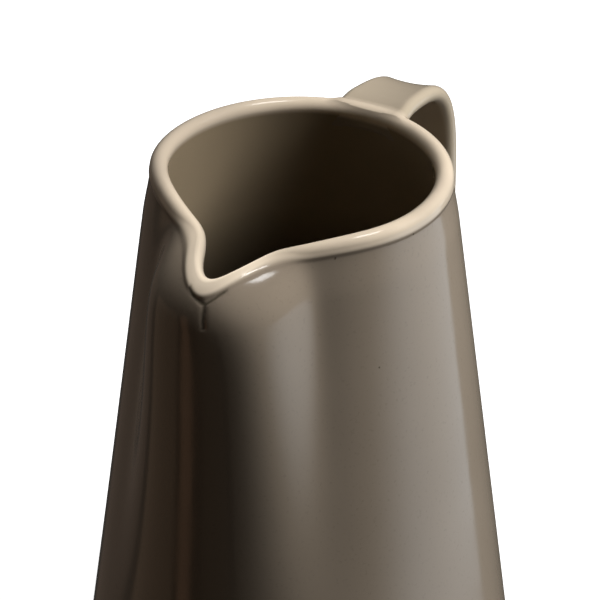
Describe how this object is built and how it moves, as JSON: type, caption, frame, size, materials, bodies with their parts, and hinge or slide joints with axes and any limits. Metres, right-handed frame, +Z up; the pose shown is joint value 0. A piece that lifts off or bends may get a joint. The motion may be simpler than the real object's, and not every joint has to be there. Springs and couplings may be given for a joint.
{
  "type": "stoneware jug",
  "caption": "Tapered glazed stoneware jug with a level rounded rim, a pinched pouring spout and a flat strap handle.",
  "frame": {"origin": "centre of the foot ring's underside, on the jug's axis", "axes": "+Z up along the jug's axis; the spout points to -Y and the strap handle stands out to +Y"},
  "size_m": [0.148, 0.1634, 0.201],
  "materials": {
    "glaze": "glossy taupe brown glaze",
    "bare_clay": "matt unglazed fired clay"
  },
  "bodies": {
    "root": {"body": "glaze", "foot_ring": "bare_clay", "handle": "glaze", "upper_joint": "glaze", "lower_joint": "glaze"}
  },
  "joints": []
}
